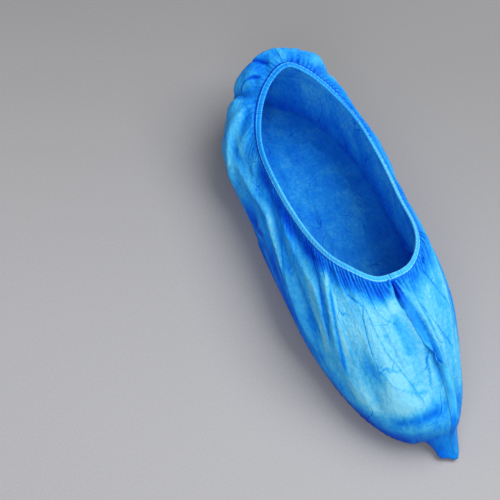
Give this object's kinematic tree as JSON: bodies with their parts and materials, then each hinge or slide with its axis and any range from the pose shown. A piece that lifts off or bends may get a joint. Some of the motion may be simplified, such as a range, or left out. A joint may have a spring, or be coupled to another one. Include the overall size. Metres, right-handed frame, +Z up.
{
  "type": "disposable shoe cover",
  "caption": "Thin blue film overshoe with a gathered elastic mouth, welded toe and heel seams and pointed corners, shaped as on a low shoe.",
  "frame": {"origin": "on the inside of the sole, midway between toe and heel, where the shoe stands", "axes": "+Z up, -Y towards the toe, +Y towards the heel, -X towards the outer side of the foot"},
  "size_m": [0.1211, 0.3171, 0.0728],
  "materials": {
    "film": "thin embossed polyethylene film, translucent blue, soft sheen",
    "weld": "two layers of film melted together, darker and smoother",
    "hem": "doubled film over the elastic, finely puckered, paler",
    "elastic": "matt pale flat elastic"
  },
  "bodies": {
    "root": {"film_body": "film", "toe_seam": "weld", "heel_seam": "weld", "hem_outer": "hem", "hem_inner": "hem", "elastic_outer": "elastic", "elastic_inner": "elastic"}
  },
  "joints": []
}
